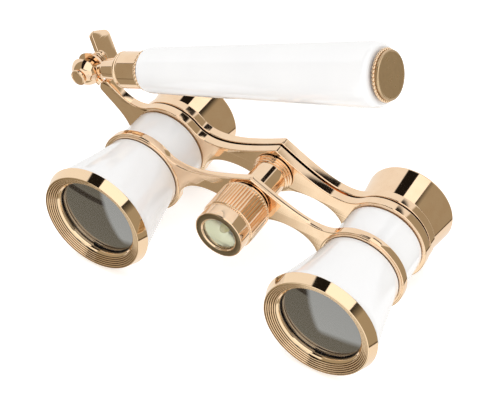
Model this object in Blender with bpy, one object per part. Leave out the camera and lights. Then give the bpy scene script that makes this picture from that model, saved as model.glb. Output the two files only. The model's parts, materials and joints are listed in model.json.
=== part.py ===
"""Theatre glasses on a folding side handle, with a small torch in the focusing wheel.

The model is laid out in millimetres in an optical frame: +Y runs from the objective lenses to the
eyepieces, +X to the right and +Z up, with Z = 0 on the two barrel axes.  SHIFT then moves it so that
the glasses stand on Z = 0 with the middle of their outer box on the origin.
"""
import math

import bmesh
import bpy
from mathutils import Matrix, Vector
from mathutils.geometry import tessellate_polygon

MM = 0.001

# ---- driving dimensions, millimetres ---------------------------------------------------------
HALF_SPACING = 33.0       # barrel axis to the middle plane: eyes 66 apart
GAP = 0.3                 # room between pieces that touch on the real object

BEZEL_FRONT_R = 14.55
BEZEL_BACK_R = 15.69
BEZEL_WIDTH = 2.8
LENS_R = 12.3
LENS_EDGE = (3.2, 5.6)    # where the objective's rim starts and ends along Y
APERTURE_R = 11.3

BARREL_FRONT_R = 15.3
BARREL_WAIST_R = 11.05
FRONT_BARREL = (BEZEL_WIDTH + GAP, 22.7)
TUBE_R = 9.4
TUBE_WALL = 0.8

FRONT_BRIDGE = (23.0, 25.2)
MIDDLE_BRIDGE = (35.8, 38.4)
REAR_BRIDGE = (39.2, 41.8)
FRONT_RING_R, MIDDLE_RING_R, REAR_RING_R = 12.3, 12.1, 11.8
HUB_Z = 7.15              # the focusing axis lies above the barrel axes
HUB_R = 6.4
ARM_ROOTS = (124.0, 188.0)  # where the handle's arm leaves the left ring, in degrees
PEAK_Z = 14.75            # top of the bridges over the hub

DRAW_R = 8.3
DRAW_WALL = 0.7
EYECUP = (42.1, 51.6)
EYECUP_FRONT_R = 11.2
EYECUP_REAR_R = 12.5
OCULAR_R = 7.2

WHEEL = (12.6, 22.0)
WHEEL_R = 7.2
TORCH_FRONT = 8.3
TORCH_R = 6.8
TORCH_LENS_R = 4.4

PIVOT = Vector((-59.85, 37.1, 13.75))
BALL_R = 4.4
HANDLE_ANGLE = math.radians(23.4)
LEVER_ANGLE = math.radians(144.0)
HANDLE_START, HANDLE_END = 22.0, 93.5
HANDLE_START_R, HANDLE_END_R = 6.0, 8.1
CAP_R = 6.45
FERRULE = (12.7, 20.6)
FERRULE_R = 5.0

BUSH_R = 3.2
BUSH_BORE = 1.8           # also the bore of the rod, the wheel's wall and the collar
SPINDLE_R = 1.5
ROD_R = 2.9
TENON_R = 2.0
CAVITY_R = 5.6            # hollow of the wheel and of the torch head
SLEEVE_R = 4.7

PIN_R = 1.25
PIN_BORE = 1.55
EYE_R = 2.6
SLOT_HALF = 1.45
TONGUE_HALF = 1.15
STEM_R = 1.6
SPIGOT_R = 4.9

ROUND = 24                # sides of a barrel-sized circle
SMALL = 16                # sides of a hub-sized circle
TINY = 12                 # sides of a pin

SIDES = {"left": -1.0, "right": 1.0}
LEVER_REACH = 5.93        # how far the thumb lever's tip lies to the left of the pivot
RING_RIGHT = HALF_SPACING + BEZEL_BACK_R
SHIFT = Vector(((LEVER_REACH - PIVOT.x - RING_RIGHT) / 2, -EYECUP[1] / 2, BEZEL_BACK_R))
HANDLE_DIR = Vector((math.cos(HANDLE_ANGLE), 0.0, math.sin(HANDLE_ANGLE)))
ALONG_Y = Vector((0.0, 1.0, 0.0))

# ---- finishes: colour, metallic, roughness, alpha --------------------------------------------
FINISHES = {
    "gold": ((0.83, 0.58, 0.38), 1.0, 0.12, 1.0),
    "enamel": ((0.93, 0.92, 0.91), 0.0, 0.08, 1.0),
    "glass": ((0.62, 0.66, 0.66), 0.0, 0.02, 0.4),
    "black": ((0.03, 0.03, 0.03), 0.0, 0.6, 1.0),
    "steel": ((0.62, 0.62, 0.63), 1.0, 0.3, 1.0),
    "mirror": ((0.90, 0.90, 0.88), 1.0, 0.05, 1.0),
    "led": ((0.95, 0.88, 0.45), 0.0, 0.2, 1.0),
    "board": ((0.10, 0.30, 0.16), 0.0, 0.5, 1.0),
}


# ---- helpers ---------------------------------------------------------------------------------
def clear_scene():
    """Remove every object, so the script can be run again in an open file."""
    for old in list(bpy.data.objects):
        bpy.data.objects.remove(old, do_unlink=True)


def finish_material(piece_name, finish):
    """A Principled material of the named finish, one for each piece."""
    colour, metallic, roughness, alpha = FINISHES[finish]
    mat = bpy.data.materials.new(piece_name + "_" + finish)
    mat.use_nodes = True
    shader = mat.node_tree.nodes["Principled BSDF"]
    shader.inputs["Base Color"].default_value = (*colour, 1.0)
    shader.inputs["Metallic"].default_value = metallic
    shader.inputs["Roughness"].default_value = roughness
    shader.inputs["Alpha"].default_value = alpha
    mat.diffuse_color = (*colour, alpha)
    return mat


def world(point):
    """A point of the optical frame, in millimetres, as a world place in metres."""
    return (Vector(point) + SHIFT) * MM


def make_object(bm, name, finish, home=None):
    """Turn a bmesh in optical millimetres into a named object whose origin is at home."""
    bmesh.ops.recalc_face_normals(bm, faces=bm.faces)
    mesh = bpy.data.meshes.new(name)
    bm.to_mesh(mesh)
    bm.free()
    origin = world(home if home is not None else (0.0, 0.0, 0.0))
    mesh.transform(Matrix.Translation(SHIFT * MM - origin) @ Matrix.Scale(MM, 4))
    mesh.shade_smooth()
    mesh.set_sharp_from_angle(angle=math.radians(35))
    obj = bpy.data.objects.new(name, mesh)
    obj.location = origin
    obj.data.materials.append(finish_material(name, finish))
    bpy.context.scene.collection.objects.link(obj)
    return obj


def axis_frame(origin, direction):
    """Matrix that carries local Z on to direction and local zero on to origin."""
    direction = Vector(direction).normalized()
    turn = Vector((0.0, 0.0, 1.0)).rotation_difference(direction).to_matrix().to_4x4()
    return Matrix.Translation(Vector(origin)) @ turn


def turned_bmesh(profile, origin, direction, sides):
    """Spin a closed outline of (distance along the axis, radius) points into a solid."""
    bm = bmesh.new()
    ring = [bm.verts.new((radius, 0.0, along)) for along, radius in profile]
    closing = 0 if profile[0][1] == 0.0 and profile[-1][1] == 0.0 else 1
    edges = [bm.edges.new((ring[i - 1], ring[i])) for i in range(1 - closing, len(ring))]
    bmesh.ops.spin(bm, geom=ring + edges, cent=(0, 0, 0), axis=(0, 0, 1), dvec=(0, 0, 0),
                   angle=2 * math.pi, steps=sides, use_merge=True, use_duplicate=False)
    bmesh.ops.remove_doubles(bm, verts=bm.verts, dist=0.001)
    bmesh.ops.transform(bm, matrix=axis_frame(origin, direction), verts=bm.verts)
    return bm


def turned(name, finish, profile, origin, direction=ALONG_Y, sides=ROUND, home=None):
    """A lathe-turned piece."""
    return make_object(turned_bmesh(profile, origin, direction, sides), name, finish, home or origin)


def tube(start, end, outer, inner):
    """Outline of a plain ring or sleeve."""
    return [(start, outer), (end, outer), (end, inner), (start, inner)]


def rod(start, end, radius):
    """Outline of a plain solid cylinder."""
    return [(start, 0.0), (start, radius), (end, radius), (end, 0.0)]


def arc(centre, radius, first, last, steps):
    """Points on a circle in the XZ plane, from one angle to another in degrees."""
    angles = [math.radians(first + (last - first) * i / steps) for i in range(steps + 1)]
    return [(centre[0] + radius * math.cos(a), centre[1] + radius * math.sin(a)) for a in angles]


def circle(centre, radius, sides):
    """A full round hole or disc in the XZ plane."""
    return arc(centre, radius, 0.0, 360.0, sides)[:-1]


def bezier(start, lead, trail, end, steps):
    """Points of a cubic curve, without its first and last."""
    points = []
    for i in range(1, steps):
        t = i / steps
        weights = ((1 - t) ** 3, 3 * t * (1 - t) ** 2, 3 * t * t * (1 - t), t ** 3)
        points.append(tuple(sum(w * p[k] for w, p in zip(weights, (start, lead, trail, end)))
                            for k in (0, 1)))
    return points


def plate_bmesh(outline, holes, low, high, to_space):
    """A flat plate with holes: loops of 2-D points, given thickness from low to high.

    to_space(u, v, w) puts the outline's u and v and the height w into the optical frame.
    """
    bm = bmesh.new()
    loops = [outline] + holes
    flat = [Vector((u, v, 0.0)) for loop in loops for u, v in loop]
    layers = [[bm.verts.new(to_space(p.x, p.y, w)) for p in flat] for w in (low, high)]
    caps = tessellate_polygon([[Vector((u, v, 0.0)) for u, v in loop] for loop in loops])
    for layer in layers:
        for a, b, c in caps:
            bm.faces.new((layer[a], layer[b], layer[c]))
    first = 0
    for loop in loops:
        for i in range(len(loop)):
            a, b = first + i, first + (i + 1) % len(loop)
            bm.faces.new((layers[0][a], layers[0][b], layers[1][b], layers[1][a]))
        first += len(loop)
    return bm


def boolean(base_bm, other_bm, operation):
    """Join or cut two bmeshes with Blender's exact Boolean and give the result back."""
    parts = []
    for label, bm in (("base", base_bm), ("other", other_bm)):
        bmesh.ops.recalc_face_normals(bm, faces=bm.faces)
        mesh = bpy.data.meshes.new(label)
        bm.to_mesh(mesh)
        bm.free()
        obj = bpy.data.objects.new(label, mesh)
        bpy.context.scene.collection.objects.link(obj)
        parts.append(obj)
    cut = parts[0].modifiers.new("cut", "BOOLEAN")
    cut.operation = operation
    cut.solver = "EXACT"
    cut.object = parts[1]
    evaluated = parts[0].evaluated_get(bpy.context.evaluated_depsgraph_get())
    result = bmesh.new()
    result.from_mesh(evaluated.to_mesh())
    evaluated.to_mesh_clear()
    for obj in parts:
        mesh = obj.data
        bpy.data.objects.remove(obj, do_unlink=True)
        bpy.data.meshes.remove(mesh)
    bmesh.ops.remove_doubles(result, verts=result.verts, dist=0.001)
    bmesh.ops.dissolve_degenerate(result, edges=result.edges, dist=0.001)
    return result


def pivot_empty(name, point):
    """An empty on a joint's axis, which the moving pieces hang from."""
    empty = bpy.data.objects.new(name, None)
    empty.location = world(point)
    bpy.context.scene.collection.objects.link(empty)
    return empty


def hang(empty, pieces):
    """Parent pieces to an empty and leave them where they are."""
    offset = Matrix.Translation(-empty.location)
    for piece in pieces:
        piece.parent = empty
        piece.matrix_parent_inverse = offset


# ---- barrels ---------------------------------------------------------------------------------
def flare(y):
    """Outer radius of the front barrel: a shallow trumpet from the bezel to the bridge."""
    share = (y - FRONT_BARREL[0]) / (FRONT_BARREL[1] - FRONT_BARREL[0])
    return BARREL_WAIST_R + (BARREL_FRONT_R - BARREL_WAIST_R) * (1 - share) ** 1.25


def objective_bezel(side, x):
    skirt_r, skirt_bore, skirt_end, lip_back = LENS_R + 0.9, LENS_R + GAP, 7.4, 2.65
    mouth = [(1.9, APERTURE_R), (1.3, APERTURE_R + 0.6), (0.9, 12.7), (0.3, 13.7)]
    profile = [(0.0, BEZEL_FRONT_R), (BEZEL_WIDTH, BEZEL_BACK_R), (BEZEL_WIDTH, skirt_r),
               (skirt_end, skirt_r), (skirt_end, skirt_bore), (lip_back, skirt_bore),
               (lip_back, APERTURE_R)] + mouth + [(0.0, 14.1)]
    return turned("objective_bezel_" + side, "gold", profile, (x, 0, 0))


def objective_lens(side, x):
    start, end = LENS_EDGE
    bulge = 1.25
    profile = [(start - bulge, 0.0)]
    profile += [(start - bulge * (1 - f * f), LENS_R * f) for f in (0.33, 0.67)]
    profile += [(start, LENS_R), (end, LENS_R), (end, 0.0)]
    return turned("objective_lens_" + side, "glass", profile, (x, 0, 0))


def lens_retainer(side, x):
    start = LENS_EDGE[1] + GAP
    return turned("lens_retainer_" + side, "black", tube(start, start + 1.2, LENS_R, 11.0), (x, 0, 0))


def front_barrel(side, x):
    start, end = FRONT_BARREL
    outer = [(y, flare(y)) for y in (start, 7.5, 12.0, 17.0, end)]
    inner = [(end, TUBE_R + GAP), (20.5, TUBE_R + GAP), (7.8, 13.5), (start, 13.5)]
    return turned("front_barrel_" + side, "enamel", outer + inner, (x, 0, 0))


def rear_barrel(side, x):
    start, end = FRONT_BRIDGE[1] + GAP, MIDDLE_BRIDGE[0] - GAP
    return turned("rear_barrel_" + side, "enamel", tube(start, end, BARREL_WAIST_R, TUBE_R + GAP),
                  (x, 0, 0))


def barrel_tube(side, x):
    return turned("barrel_tube_" + side, "black",
                  tube(9.6, MIDDLE_BRIDGE[1] - 0.2, TUBE_R, TUBE_R - TUBE_WALL), (x, 0, 0))


def draw_tube(side, x):
    return turned("draw_tube_" + side, "gold", tube(26.0, 44.0, DRAW_R, DRAW_R - DRAW_WALL), (x, 0, 0))


def eyecup(side, x):
    start, end = EYECUP
    lens_bore = OCULAR_R + GAP + 0.05
    profile = [(start, EYECUP_FRONT_R), (end - 0.8, EYECUP_REAR_R), (end - 0.2, EYECUP_REAR_R - 0.2),
               (end, EYECUP_REAR_R - 0.7), (end, 11.4), (end - 0.6, 10.8), (47.6, lens_bore),
               (44.3, lens_bore), (44.3, DRAW_R + GAP), (start, DRAW_R + GAP)]
    return turned("eyecup_" + side, "gold", profile, (x, 0, 0))


def ocular_lens(side, x):
    start, end, hollow = 44.6, 46.1, 0.45
    profile = [(start + hollow, 0.0), (start, OCULAR_R), (end, OCULAR_R), (end - hollow, 0.0)]
    return turned("ocular_lens_" + side, "glass", profile, (x, 0, 0))


def ocular_retainer(side, x):
    return turned("ocular_retainer_" + side, "black", tube(46.4, 47.4, OCULAR_R, 6.0), (x, 0, 0))


# ---- bridges ---------------------------------------------------------------------------------
def upright(u, v, w):
    """Plates that stand across the optical axis: u is X, v is Z and the thickness runs along Y."""
    return (u, w, v)


def bridge_half(ring_r, lift):
    """Outline of a bridge's right half, from the peak over the hub round to the hub's underside."""
    centre = (HALF_SPACING, 0.0)
    peak = (0.0, PEAK_Z)
    top_end, bottom_start, hub_angle = 130.0, 195.0 - 360.0, -50.0
    ring = arc(centre, ring_r, top_end, bottom_start, 20)
    hub = arc((0.0, HUB_Z), HUB_R, hub_angle, -90.0, 3)
    top = bezier(peak, (10.9, 8.8 + lift), (ring[0][0] - 5.4, 4.8 + lift), ring[0], 8)
    bottom = bezier(ring[-1], (20.9, 5.2 + lift), (7.2, 4.8 + lift), hub[0], 8)
    return [peak] + top + ring + bottom + hub


def arm_outline(ring_r):
    """The handle arm, from the left ring's top out to its end and back to the ring's side."""
    centre = (-HALF_SPACING, 0.0)
    high_root, low_root = (arc(centre, ring_r, angle, angle, 1)[0] for angle in ARM_ROOTS)
    low_end, high_end = (-55.1, 9.8), (-52.7, 13.4)
    high_curve = bezier(high_root, (-44.6, 7.4), (-48.6, 10.6), high_end, 6)
    low_curve = bezier(low_end, (-50.5, 6.0), (-45.6, 3.5), low_root, 6)
    tip = [high_end, (-53.5, 13.3), (-55.3, 10.5), low_end]
    return [high_root] + high_curve + tip + low_curve + [low_root]


def with_arm(outline, ring_r):
    """Swap the stretch of the left ring between the arm's roots for the arm's own outline."""
    top, low = ARM_ROOTS
    angles = [math.degrees(math.atan2(z, x + HALF_SPACING)) % 360 for x, z in outline]
    under_arm = [i for i, (x, z) in enumerate(outline)
                 if x < -HALF_SPACING and top - 1 < angles[i] < low + 1]
    return outline[:under_arm[0]] + arm_outline(ring_r)[::-1] + outline[under_arm[-1] + 1:]


def bridge(name, span, ring_r, lift, bore, hub_bore, arm=False):
    """One cross bridge: two rings and a hub joined by curved webs, and perhaps the handle's arm."""
    right = bridge_half(ring_r, lift)
    outline = right + [(-x, z) for x, z in reversed(right[1:-1])]
    if arm:
        outline = with_arm(outline, ring_r)
    holes = [circle((x * HALF_SPACING, 0.0), bore, ROUND) for x in SIDES.values()]
    holes.append(circle((0.0, HUB_Z), hub_bore, SMALL))
    return make_object(plate_bmesh(outline, holes, *span, upright), name, "gold")


# ---- focusing: sleeve, spindle, rod and wheel ------------------------------------------------
def hub_turned(name, finish, profile, sides=SMALL):
    """A piece turned about the focusing axis."""
    return turned(name, finish, profile, (0, 0, HUB_Z), sides=sides)


def hub_pieces():
    """Pieces on the focusing axis that stay with the frame."""
    front, back = FRONT_BRIDGE[1] + GAP, MIDDLE_BRIDGE[0] - GAP
    flared = SLEEVE_R + 1.0
    sleeve = [(front, SLEEVE_R), (back - 1.8, SLEEVE_R), (back - 1.3, flared - 0.4), (back, flared),
              (back, 3.3), (front, 3.3)]
    boss_start, boss_end = WHEEL[1] + 0.2, FRONT_BRIDGE[0] - GAP
    bush = [(boss_start, 5.8), (boss_end, 5.8), (boss_end, BUSH_R), (25.1, BUSH_R),
            (25.1, BUSH_BORE), (boss_start, BUSH_BORE)]
    return [hub_turned("hub_sleeve", "gold", sleeve), hub_turned("front_bush", "gold", bush)]


def focus_rod():
    """The inner tube that carries the rear bridge: bored for the spindle, with a tenon behind."""
    shoulder, tenon_end = REAR_BRIDGE[0] - GAP, REAR_BRIDGE[1] - 0.2
    profile = [(27.2, ROD_R), (shoulder, ROD_R), (shoulder, TENON_R), (tenon_end, TENON_R),
               (tenon_end, 1.3), (shoulder, 1.3), (shoulder, 0.0), (37.5, 0.0), (37.5, BUSH_BORE),
               (27.2, BUSH_BORE)]
    return hub_turned("focus_rod", "steel", profile)


def hub_screw():
    """Round-headed screw that holds the rear bridge on the focusing rod."""
    head = REAR_BRIDGE[1] + GAP
    profile = [(39.4, 0.0), (39.4, 1.0), (head, 1.0), (head, 3.1), (head + 0.5, 3.1),
               (head + 1.1, 2.3), (head + 1.3, 0.0)]
    return hub_turned("hub_screw", "gold", profile)


def wheel_pieces():
    """Focusing wheel, its spindle and the cells that it holds."""
    start, end = WHEEL
    wall = 20.8
    wheel = [(start, WHEEL_R - 0.2), (start + 0.2, WHEEL_R), (end - 0.8, WHEEL_R),
             (end - 0.2, WHEEL_R - 0.5), (end, WHEEL_R - 1.1), (end, BUSH_BORE), (wall, BUSH_BORE),
             (wall, CAVITY_R), (start, CAVITY_R)]
    spindle = [(wall - 0.7, 0.0), (wall - 0.7, 3.0), (wall - GAP, 3.0), (wall - GAP, SPINDLE_R),
               (36.0, SPINDLE_R), (36.0, 0.0)]
    pieces = [hub_turned("focus_wheel", "gold", wheel, ROUND),
              hub_turned("focus_spindle", "steel", spindle),
              hub_turned("spindle_collar", "steel", tube(25.6, 26.6, 2.9, BUSH_BORE)),
              hub_turned("battery_sleeve", "black", tube(12.8, 19.6, 5.3, 4.3))]
    for place, cell_start in (("front", 12.7), ("rear", 16.3)):
        pieces.append(hub_turned("battery_cell_" + place, "steel", rod(cell_start, cell_start + 3.3, 3.95)))
    return pieces


def torch_pieces():
    """The lamp in the front of the wheel."""
    front = TORCH_FRONT
    head_end = WHEEL[0] - GAP
    lens_bore = TORCH_LENS_R + GAP
    head = [(front, TORCH_R - 0.15), (front + 0.15, TORCH_R), (head_end, TORCH_R), (head_end, CAVITY_R),
            (front + 2.1, CAVITY_R), (front + 2.1, lens_bore), (front, lens_bore)]
    lens = [(front + 0.05, 0.0), (front + 0.25, TORCH_LENS_R * 0.6), (front + 0.7, TORCH_LENS_R),
            (front + 1.6, TORCH_LENS_R), (front + 1.6, 0.0)]
    bowl = [(10.7, 5.2), (11.9, 5.2), (11.9, 1.5), (11.5, 1.5), (10.7, 4.6)]
    led = [(10.6, 0.0), (10.75, 0.7), (11.2, 1.15), (11.9, 1.15), (11.9, 0.0)]
    return [hub_turned("torch_head", "gold", head, ROUND),
            hub_turned("torch_lens", "glass", lens),
            hub_turned("torch_reflector", "mirror", bowl),
            hub_turned("torch_led", "led", led, TINY),
            hub_turned("torch_board", "board", rod(12.0, 12.5, 4.9))]


# ---- handle hinge ----------------------------------------------------------------------------
def on_pivot(profile, sides=TINY):
    """Bmesh of a piece turned about the handle's pivot axis."""
    return turned_bmesh(profile, PIVOT, ALONG_Y, sides)


def hinge_plate(u, v, w):
    """Plates in the handle's plane: u and v from the pivot along X and Z, thickness along Y."""
    return PIVOT + Vector((u, w, v))


def hinge_fork():
    """Ball-shaped fork at the arm's end: two cheeks with a slot between them, and its stud."""
    flat = 3.9
    steps = 8
    latitudes = [-flat + 2 * flat * i / steps for i in range(steps + 1)]
    ball = [(-flat, PIN_BORE)] + [(y, math.sqrt(BALL_R ** 2 - y * y)) for y in latitudes]
    ball.append((flat, PIN_BORE))
    stud_angle = math.radians(-32.0)
    stud_dir = Vector((math.cos(stud_angle), 0.0, math.sin(stud_angle)))
    stud = turned_bmesh(rod(3.6, 5.2, 1.2), PIVOT, stud_dir, TINY)
    fork = boolean(on_pivot(ball, 20), stud, "UNION")
    web_start, web_end, clear = -60.0, -22.0, 6.5
    slot = arc((0, 0), clear, web_end, 360.0 + web_start, 20)
    slot += arc((0, 0), EYE_R + GAP, web_start, web_end, 4)
    half = SLOT_HALF
    fork = boolean(fork, plate_bmesh(slot, [], -half, half, hinge_plate), "DIFFERENCE")
    return make_object(fork, "hinge_fork", "gold")


def pivot_nut():
    profile = [(-4.9, 0.0), (-4.9, 2.0), (-4.7, 2.3), (-4.2, 2.3), (-4.2, 0.0)]
    return make_object(on_pivot(profile, SMALL), "pivot_nut", "gold")


def clamp_pieces():
    """Clamp screw through the hinge with its washer and thumb lever."""
    up = Vector((math.cos(LEVER_ANGLE), 0.0, math.sin(LEVER_ANGLE)))
    across = up.cross(ALONG_Y)

    def blade_space(u, v, w):
        return PIVOT + ALONG_Y * u + up * v + across * w

    foot, tip = Vector((7.5, -1.9)), Vector((11.6, 5.9))
    run = (tip - foot).normalized()
    side = Vector((run.y, -run.x))
    half_width, corner = 3.1, 1.5
    corners = [foot - side * half_width, foot + side * half_width]
    for sign in (1, -1):
        centre = tip + side * sign * (half_width - corner) - run * corner
        for degrees in ((0, 45, 90) if sign > 0 else (90, 135, 180)):
            a = math.radians(degrees)
            corners.append(centre + (side * math.cos(a) + run * math.sin(a)) * corner)
    blade = plate_bmesh([tuple(c) for c in corners], [], -0.8, 0.8, blade_space)
    collar = [(4.8, 0.0), (4.8, 2.2), (5.4, 2.2), (5.5, 1.8), (6.0, 1.8), (6.1, 2.0), (6.7, 2.0),
              (6.7, 0.0)]
    lever = boolean(on_pivot(collar, SMALL), blade, "UNION")
    return [make_object(lever, "clamp_lever", "gold", PIVOT),
            make_object(on_pivot(rod(-3.9, 4.5, PIN_R)), "pivot_screw", "steel", PIVOT),
            make_object(on_pivot(tube(4.1, 4.5, 2.3, PIN_BORE)), "lever_washer", "gold", PIVOT)]


# ---- handle ----------------------------------------------------------------------------------
def on_handle(name, finish, profile, sides=SMALL):
    """A piece turned about the handle's own axis, measured outwards from the pivot."""
    return turned(name, finish, profile, PIVOT, HANDLE_DIR, sides)


def hinge_tongue():
    """Flat eye that turns in the fork, with a cone and a stem that the ferrule sits on."""
    sideways = HANDLE_DIR.cross(ALONG_Y)

    def tongue_space(u, v, w):
        return PIVOT + HANDLE_DIR * u + sideways * v + ALONG_Y * w

    neck = 1.4
    neck_angle = math.degrees(math.asin(neck / EYE_R))
    outline = arc((0, 0), EYE_R, neck_angle, 360 - neck_angle, 16) + [(5.6, -neck), (5.6, neck)]
    eye = plate_bmesh(outline, [circle((0, 0), PIN_BORE, TINY)], -TONGUE_HALF, TONGUE_HALF, tongue_space)
    neck_end, stem_end = FERRULE[0] - GAP, FERRULE[1] - 1.0
    cone = [(4.8, 0.0), (4.8, 1.8), (neck_end, 2.5), (neck_end, STEM_R), (stem_end, STEM_R),
            (stem_end, 0.0)]
    tongue = boolean(eye, turned_bmesh(cone, PIVOT, HANDLE_DIR, SMALL), "UNION")
    return make_object(tongue, "hinge_tongue", "gold", PIVOT)


def handle_pieces():
    """Tongue, ferrule, enamelled tube, tie rod and end cap."""
    bore = STEM_R + GAP
    front, back = FERRULE
    ferrule = [(front, FERRULE_R - 0.5), (front + 0.3, FERRULE_R - 0.1), (front + 0.9, FERRULE_R),
               (front + 1.2, FERRULE_R - 0.25), (front + 1.5, FERRULE_R), (back, FERRULE_R),
               (back, bore), (front, bore)]
    wall = 1.2
    shell = [(HANDLE_START, HANDLE_START_R - 0.7), (HANDLE_START + 0.8, HANDLE_START_R - 0.15),
             (HANDLE_START + 2.2, HANDLE_START_R),
             (HANDLE_END - 2.5, HANDLE_END_R), (HANDLE_END - 0.8, HANDLE_END_R - 0.5),
             (HANDLE_END, HANDLE_END_R - 1.2), (HANDLE_END, SPIGOT_R + GAP),
             (HANDLE_END - 6.0, SPIGOT_R + GAP), (HANDLE_START, HANDLE_START_R - wall)]
    cap_start = HANDLE_END + 1.7
    cap = [(89.0, 0.0), (89.0, SPIGOT_R), (cap_start, SPIGOT_R), (cap_start, CAP_R - 0.2),
           (cap_start + 0.3, CAP_R), (cap_start + 1.1, CAP_R), (cap_start + 1.4, CAP_R - 0.3),
           (cap_start + 1.4, 0.0)]
    return [hinge_tongue(),
            on_handle("ferrule", "gold", ferrule, 20),
            on_handle("ferrule_bead", "gold", tube(back + GAP, back + 1.1, FERRULE_R + 0.15, bore), 20),
            on_handle("handle_tube", "enamel", shell, ROUND),
            on_handle("tie_rod", "steel", rod(back - 0.7, 88.6, 1.5), TINY),
            on_handle("cap_bead", "gold", tube(HANDLE_END + GAP, cap_start - GAP, CAP_R + 0.3,
                                               SPIGOT_R + GAP), ROUND),
            on_handle("end_cap", "gold", cap, ROUND)]


# ---- assembly --------------------------------------------------------------------------------
def build():
    clear_scene()
    moving = []
    for side, sign in SIDES.items():
        x = sign * HALF_SPACING
        for make in (objective_bezel, objective_lens, lens_retainer, front_barrel, rear_barrel,
                     barrel_tube):
            make(side, x)
        moving += [make(side, x) for make in (draw_tube, eyecup, ocular_lens, ocular_retainer)]
    tube_bore = TUBE_R + GAP
    bridge("front_bridge", FRONT_BRIDGE, FRONT_RING_R, 1.0, tube_bore, BUSH_R + GAP)
    bridge("middle_bridge", MIDDLE_BRIDGE, MIDDLE_RING_R, 0.0, tube_bore, ROD_R + 0.4, arm=True)
    moving.append(bridge("rear_bridge", REAR_BRIDGE, REAR_RING_R, 0.0, DRAW_R + GAP, TENON_R + GAP))
    moving += [focus_rod(), hub_screw()]
    hub_pieces()
    hinge_fork()
    pivot_nut()
    hang(pivot_empty("focus_slide", (0, REAR_BRIDGE[0], HUB_Z)), moving)
    hang(pivot_empty("focus_turn", (0, WHEEL[0], HUB_Z)), wheel_pieces())
    hang(pivot_empty("torch_twist", (0, TORCH_FRONT, HUB_Z)), torch_pieces())
    hang(pivot_empty("handle_fold", PIVOT), handle_pieces())
    hang(pivot_empty("clamp_turn", PIVOT), clamp_pieces())
    bpy.context.view_layer.update()


build()
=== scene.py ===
# %% [markdown]
# # Theatre glasses with a folding handle
#
# This file dresses a finished CAD model. The CAD says where every piece is and how it moves. Here each
# visible piece gets its true surface: smooth turned rings, bridges with softened edges, a ribbed focusing
# wheel, beaded rings, and finishes of polished gold, white enamel, coated glass and black lacquer.
# Almost every piece is turned, so most of the work is one idea: a profile carried round an axis.

# %% Load the CAD frame
import json
import math

import bpy
import numpy as np
from mathutils import Matrix, Vector
from mathutils.geometry import tessellate_polygon


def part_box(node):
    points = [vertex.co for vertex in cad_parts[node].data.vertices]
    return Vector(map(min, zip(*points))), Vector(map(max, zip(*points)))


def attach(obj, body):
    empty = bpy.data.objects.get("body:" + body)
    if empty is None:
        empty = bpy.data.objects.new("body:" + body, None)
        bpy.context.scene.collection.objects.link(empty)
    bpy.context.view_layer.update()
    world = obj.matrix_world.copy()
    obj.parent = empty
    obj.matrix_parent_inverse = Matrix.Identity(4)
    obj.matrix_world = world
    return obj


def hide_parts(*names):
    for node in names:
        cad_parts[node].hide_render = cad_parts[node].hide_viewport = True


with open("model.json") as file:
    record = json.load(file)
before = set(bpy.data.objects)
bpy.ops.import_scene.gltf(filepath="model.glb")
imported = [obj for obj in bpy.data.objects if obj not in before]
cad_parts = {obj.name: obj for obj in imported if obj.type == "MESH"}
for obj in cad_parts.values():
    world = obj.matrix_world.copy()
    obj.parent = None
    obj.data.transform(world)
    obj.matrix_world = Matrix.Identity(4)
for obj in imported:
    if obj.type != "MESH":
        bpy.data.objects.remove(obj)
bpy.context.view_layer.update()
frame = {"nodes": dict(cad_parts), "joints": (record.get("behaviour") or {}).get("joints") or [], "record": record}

# %% [markdown]
# Every place below is measured from the CAD itself: the barrel axes come from the boxes of the two
# objective bezels, the pivots from the joints, and the handle's direction from the mount on its end.
# Shapes are then written in millimetres from those places, because a lens ring is easier to read as
# "2.8 mm wide" than as 0.0028.

# %% Places read from the frame
MM = 0.001
X, Y, Z = np.eye(3)
joints = {j["name"]: j for j in frame["joints"]}
mounts = {m["name"]: m for m in frame["record"]["mounts"]}


def box_mm(node):
    """Lowest and highest corner of a CAD node, in millimetres."""
    low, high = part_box(node)
    return np.array(low) / MM, np.array(high) / MM


bezels = {side: box_mm("objective_bezel_" + side) for side in ("left", "right")}
front = bezels["left"][0][1]
BARREL = {side: np.array([b[:, 0].mean(), front, b[:, 2].mean()])
          for side, b in ((s, np.array(v)) for s, v in bezels.items())}
MIDDLE = (BARREL["left"] + BARREL["right"]) / 2
HALF_SPACING = (BARREL["right"] - BARREL["left"])[0] / 2
wheel_pivot = np.array(joints["focus_turn"]["pos_m"]) / MM
HUB = np.array([wheel_pivot[0], front, wheel_pivot[2]])
HUB_UP = HUB[2] - MIDDLE[2]
PIVOT = np.array(joints["handle_fold"]["pos_m"]) / MM
HANDLE = np.array(mounts["handle_end_face"]["axis"], float)
HANDLE /= np.linalg.norm(HANDLE)
HANDLE_LENGTH = (np.array(mounts["handle_end_face"]["pos_m"]) / MM - PIVOT) @ HANDLE
print(f"barrels {2 * HALF_SPACING:.1f} mm apart, wheel {HUB_UP:.2f} mm above them, "
      f"handle reaches {HANDLE_LENGTH:.1f} mm from its pivot")

# %% [markdown]
# ## Turned surfaces
#
# A lathe could be imitated with Blender's Screw or Spin. A numpy grid does the same in one step and
# keeps full control: row i is one point of the profile, column j one angle. Two small tools come first.
# `eased` rounds the corners of a profile, because no real metal corner is perfectly sharp and the
# rounding is what catches the light. `outward` looks at the signed volume of a closed shell and turns
# all its faces if they point inwards.

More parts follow.
